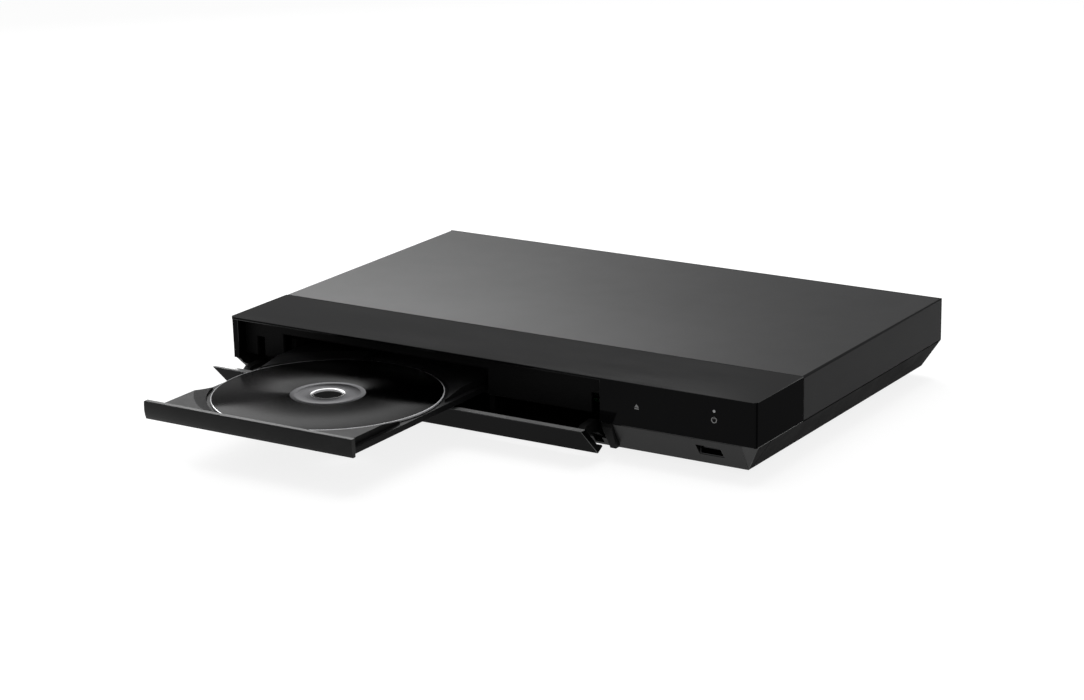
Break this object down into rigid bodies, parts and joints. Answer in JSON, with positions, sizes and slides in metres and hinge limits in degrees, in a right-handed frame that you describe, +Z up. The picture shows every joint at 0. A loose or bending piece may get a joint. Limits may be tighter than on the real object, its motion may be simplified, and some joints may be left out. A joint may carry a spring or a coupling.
{
  "type": "disc player",
  "caption": "Slim black video disc player with its tray out and a disc on it, drop-down front flap, inner disc drive, boards and rear sockets.",
  "frame": {"origin": "on the table under the middle of the bounding box of the rest pose, tray out", "axes": "+X to the right seen from the front, +Y from the front to the back, +Z up"},
  "size_m": [0.32, 0.3262, 0.045],
  "materials": {
    "gloss_black": "high gloss moulding",
    "black_plastic": "fine texture",
    "dark_grey_plastic": "fine texture",
    "satin_strip": "satin",
    "cover_steel": "fine black texture paint",
    "plated_steel": "plated sheet",
    "shaft_steel": "ground",
    "white_plastic": "moulded acetal",
    "disc_lacquer": "printed black top",
    "rubber": "moulded",
    "motor_can": "drawn can",
    "board_green": "solder mask",
    "chip_black": "moulded package",
    "aluminium": "extruded",
    "lens_glass": "polished",
    "ribbon_white": "film",
    "clear_plastic": "clear moulding",
    "coil_yellow": "taped coil",
    "socket_steel": "plated shell"
  },
  "bodies": {
    "housing": {"front_fascia": "gloss_black", "lower_front_strip": "satin_strip", "inner_panel": "black_plastic", "flap_pins": "shaft_steel", "top_cover": "cover_steel", "bottom_chassis": "cover_steel", "rear_panel": "cover_steel", "cover_screws": "shaft_steel", "feet": "rubber", "loader_frame": "black_plastic", "loader_screws": "shaft_steel", "clamp_bridge": "plated_steel", "loading_motor": "motor_can", "drive_belt": "rubber", "main_board": "board_green", "power_board": "board_green", "board_screws": "shaft_steel", "main_processor": "chip_black", "heat_sink": "aluminium", "power_transformer": "coil_yellow", "power_capacitor": "black_plastic", "ac_inlet": "black_plastic", "ac_inlet_pins": "socket_steel", "hdmi_sockets": "socket_steel", "lan_jack": "socket_steel", "coax_jack": "black_plastic", "usb_socket": "socket_steel", "usb_board": "board_green", "usb_board_posts": "plated_steel", "front_board": "board_green", "power_light_guide": "clear_plastic", "drive_ribbon": "ribbon_white", "front_ribbon": "ribbon_white"},
    "tray": {"disc_tray": "dark_grey_plastic", "tray_front_bar": "satin_strip"},
    "disc": {"disc": "disc_lacquer"},
    "flap": {"flap": "gloss_black", "flap_arm_left": "black_plastic", "flap_arm_right": "black_plastic"},
    "drive_gear": {"drive_gear": "white_plastic"},
    "pulley_gear": {"pulley_gear": "white_plastic"},
    "motor_pulley": {"motor_pulley": "white_plastic"},
    "cam": {"cam_slider": "white_plastic"},
    "traverse": {"traverse_frame": "black_plastic", "guide_rods": "shaft_steel", "spindle_motor": "motor_can", "sled_motor": "motor_can"},
    "turntable": {"turntable": "black_plastic"},
    "clamper": {"clamper": "white_plastic"},
    "lead_screw": {"lead_screw": "shaft_steel"},
    "pickup": {"optical_pickup": "black_plastic", "objective_lens": "lens_glass"}
  },
  "joints": [
    {"name": "tray_slide", "type": "slide", "parent": "housing", "child": "tray", "axis": [0, 1, 0], "range_m": [0, 0.1135]},
    {"name": "drive_gear_spin", "type": "hinge", "parent": "housing", "child": "drive_gear", "pos_m": [-0.0335, -0.02885, 0.02], "axis": [0, 0, 1], "range_deg": [0, 541.92]},
    {"name": "pulley_gear_spin", "type": "hinge", "parent": "housing", "child": "pulley_gear", "pos_m": [-0.05375, -0.02885, 0.02], "axis": [0, 0, 1], "range_deg": [-1548.35, 0]},
    {"name": "motor_pulley_spin", "type": "hinge", "parent": "housing", "child": "motor_pulley", "pos_m": [-0.0935, -0.02885, 0.02], "axis": [0, 0, 1], "range_deg": [-6709.52, 0]},
    {"name": "flap_hinge", "type": "hinge", "parent": "housing", "child": "flap", "pos_m": [-0.04, -0.03635, 0.0112], "axis": [1, 0, 0], "range_deg": [-1, 6]},
    {"name": "disc_spin", "type": "hinge", "parent": "tray", "child": "disc", "pos_m": [-0.0655, -0.09585, 0.0272], "axis": [0, 0, 1], "continuous": true},
    {"name": "turntable_spin", "type": "hinge", "parent": "traverse", "child": "turntable", "pos_m": [-0.0655, 0.01724, 0.0201], "axis": [0, -0.068, 0.9977], "continuous": true},
    {"name": "clamper_spin", "type": "hinge", "parent": "housing", "child": "clamper", "pos_m": [-0.0655, 0.01765, 0.032], "axis": [0, 0, 1], "continuous": true},
    {"name": "cam_slide", "type": "slide", "parent": "housing", "child": "cam", "axis": [1, 0, 0], "range_m": [0, 0.022]},
    {"name": "traverse_lift", "type": "hinge", "parent": "housing", "child": "traverse", "pos_m": [-0.0655, 0.10415, 0.017], "axis": [-1, 0, 0], "range_deg": [0, 3.9]},
    {"name": "pickup_slide", "type": "slide", "parent": "traverse", "child": "pickup", "axis": [0, 0.9977, 0.068], "range_m": [0, 0.034]},
    {"name": "lead_screw_spin", "type": "hinge", "parent": "traverse", "child": "lead_screw", "pos_m": [-0.0345, 0.05602, 0.01733], "axis": [0, 0.9977, 0.068], "range_deg": [0, 4080]}
  ],
  "couplings": [
    {"joint": "drive_gear_spin", "follows": "tray_slide", "rad_per_m": 83.333},
    {"joint": "pulley_gear_spin", "follows": "tray_slide", "rad_per_m": -238.1},
    {"joint": "motor_pulley_spin", "follows": "tray_slide", "rad_per_m": -1031.7},
    {"joint": "clamper_spin", "follows": "turntable_spin", "ratio": 1},
    {"joint": "traverse_lift", "follows": "cam_slide", "rad_per_m": 3.094},
    {"joint": "lead_screw_spin", "follows": "pickup_slide", "rad_per_m": 2094.4}
  ]
}
